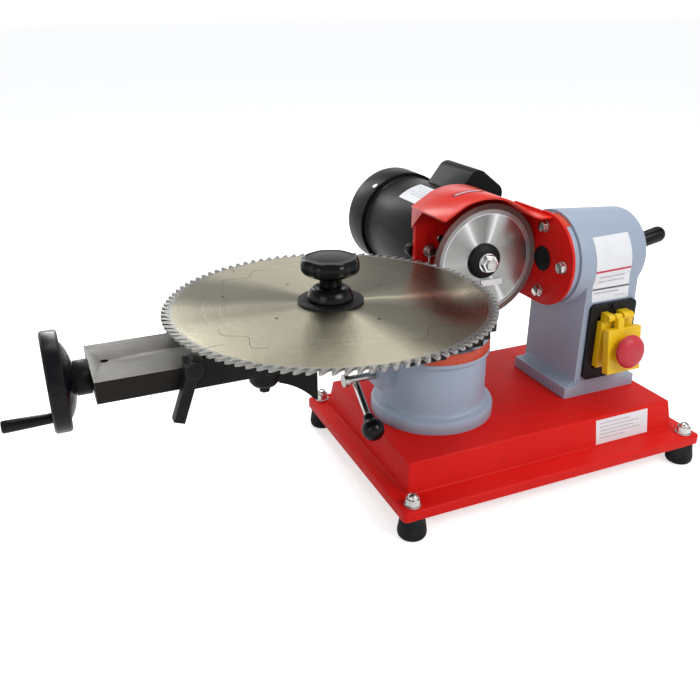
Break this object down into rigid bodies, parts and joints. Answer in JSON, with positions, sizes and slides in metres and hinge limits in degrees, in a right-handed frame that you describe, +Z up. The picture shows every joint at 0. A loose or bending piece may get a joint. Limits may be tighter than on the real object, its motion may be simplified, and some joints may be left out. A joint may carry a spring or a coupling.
{
  "type": "saw blade sharpener",
  "caption": "Bench sharpener for circular saw blades: red base, motor with dish wheel under a hood, swivelling arm with a clamped blade, screw feed and covered switch.",
  "frame": {"origin": "on the bench below the middle of the base", "axes": "+X along the base from the turret to the pedestal, +Y from the front to the motor, +Z up"},
  "size_m": [0.7185, 0.437, 0.2971],
  "materials": {
    "red_paint": "satin",
    "grey_paint": "hammered paint",
    "black_paint": "satin",
    "black_casting": "satin paint",
    "steel": "ground",
    "bright_steel": "polished",
    "blade_steel": "brushed",
    "dish_wheel": "machined",
    "lamination": "bare",
    "rubber": "matte",
    "black_plastic": "gloss",
    "matte_plastic": "matte",
    "yellow_plastic": "satin",
    "red_plastic": "gloss",
    "green_plastic": "gloss",
    "bronze": "machined",
    "orange_scale": "satin"
  },
  "bodies": {
    "base": {"base_pan": "red_paint", "feet": "rubber", "corner_bolts": "steel", "column": "grey_paint", "column_screws": "steel", "pedestal": "grey_paint", "pedestal_screws": "steel", "end_cap": "grey_paint", "switch_plate": "matte_plastic", "switch_body": "matte_plastic", "switch_frame": "yellow_plastic"},
    "start_key": {"start_button": "green_plastic"},
    "stop_key": {"stop_button": "red_plastic"},
    "cover_flap": {"switch_cover": "yellow_plastic"},
    "mushroom_head": {"stop_mushroom": "red_plastic"},
    "feed_quill": {"quill": "steel", "scale_ring": "grey_paint", "feed_rod": "steel", "feed_handle": "black_plastic"},
    "head": {"head_bracket": "red_paint", "hood": "red_paint", "tilt_bolts": "steel", "bracket_plug": "matte_plastic", "motor_front_bell": "black_paint", "motor_shell": "black_paint", "motor_rear_bell": "black_paint", "fan_cowl": "black_paint", "stator": "lamination", "bearings": "steel", "capacitor_cover": "black_paint", "capacitor": "matte_plastic", "motor_screws": "steel", "stop_screw": "steel"},
    "tooth_stop": {"stop_finger": "steel"},
    "wheel_set": {"spindle": "steel", "rotor": "lamination", "cooling_fan": "matte_plastic", "grinding_wheel": "dish_wheel", "wheel_flanges": "black_casting", "wheel_nut": "bright_steel"},
    "turret": {"turret_head": "grey_paint", "scale_band": "orange_scale", "support_arm": "black_casting", "guide_bar": "steel", "screw_bush": "black_paint", "arm_screws": "black_casting"},
    "clamp_lever": {"clamp_bolt": "steel", "clamp_rod": "bright_steel", "clamp_ball": "black_plastic"},
    "feed_screw": {"lead_screw": "steel", "handwheel": "black_plastic"},
    "crank_grip": {"crank_handle": "black_plastic"},
    "saddle": {"carriage": "black_casting", "lead_nut": "bronze", "arbor": "steel"},
    "lock": {"lock_lever": "black_casting"},
    "blade_set": {"saw_blade": "blade_steel", "clamp_washer": "black_casting", "centring_cone": "black_casting"},
    "knob": {"star_knob": "black_plastic"}
  },
  "joints": [
    {"name": "head_feed", "type": "slide", "parent": "base", "child": "feed_quill", "axis": [1, 0, 0], "range_m": [-0.005, 0.005]},
    {"name": "head_tilt", "type": "hinge", "parent": "feed_quill", "child": "head", "pos_m": [0.0508, 0, 0.217], "axis": [1, 0, 0], "range_deg": [-10, 25]},
    {"name": "wheel_spin", "type": "hinge", "parent": "head", "child": "wheel_set", "pos_m": [-0.0173, 0.1, 0.217], "axis": [0, 1, 0], "continuous": true},
    {"name": "stop_turn", "type": "hinge", "parent": "head", "child": "tooth_stop", "pos_m": [-0.0648, 0.05, 0.225], "axis": [0, 1, 0], "range_deg": [-30, 30]},
    {"name": "turret_swivel", "type": "hinge", "parent": "base", "child": "turret", "pos_m": [-0.085, 0, 0.13], "axis": [0, 0, 1], "range_deg": [-15, 25]},
    {"name": "clamp_turn", "type": "hinge", "parent": "base", "child": "clamp_lever", "pos_m": [-0.1765, 0, 0.116], "axis": [1, 0, 0], "range_deg": [-35, 20]},
    {"name": "carriage_slide", "type": "slide", "parent": "turret", "child": "saddle", "axis": [1, 0, 0], "range_m": [-0.06, 0]},
    {"name": "handwheel_spin", "type": "hinge", "parent": "turret", "child": "feed_screw", "pos_m": [-0.4, -0.045, 0.1902], "axis": [1, 0, 0], "range_deg": [-5, 5405]},
    {"name": "crank_spin", "type": "hinge", "parent": "feed_screw", "child": "crank_grip", "pos_m": [-0.485, -0.045, 0.1582], "axis": [1, 0, 0], "continuous": true},
    {"name": "blade_spin", "type": "hinge", "parent": "saddle", "child": "blade_set", "pos_m": [-0.2193, -0.045, 0.222], "axis": [0, 0, 1], "continuous": true},
    {"name": "knob_turn", "type": "hinge", "parent": "saddle", "child": "knob", "pos_m": [-0.2193, -0.045, 0.25], "axis": [0, 0, 1], "continuous": true},
    {"name": "lock_turn", "type": "hinge", "parent": "saddle", "child": "lock", "pos_m": [-0.358, -0.097, 0.2046], "axis": [0, 1, 0], "range_deg": [-40, 40]},
    {"name": "cover_hinge", "type": "hinge", "parent": "base", "child": "cover_flap", "pos_m": [0.1085, -0.06, 0.161], "axis": [-1, 0, 0], "range_deg": [-8, 90]},
    {"name": "mushroom_press", "type": "slide", "parent": "cover_flap", "child": "mushroom_head", "axis": [0, 0.9903, -0.1392], "range_m": [0, 0.004], "stiffness_N_per_m": 300},
    {"name": "start_press", "type": "slide", "parent": "base", "child": "start_key", "axis": [0, 1, 0], "range_m": [0, 0.0035], "stiffness_N_per_m": 300},
    {"name": "stop_press", "type": "slide", "parent": "base", "child": "stop_key", "axis": [0, 1, 0], "range_m": [0, 0.0035], "stiffness_N_per_m": 300}
  ],
  "couplings": [
    {"joint": "handwheel_spin", "follows": "carriage_slide", "rad_per_m": -1570.8}
  ]
}
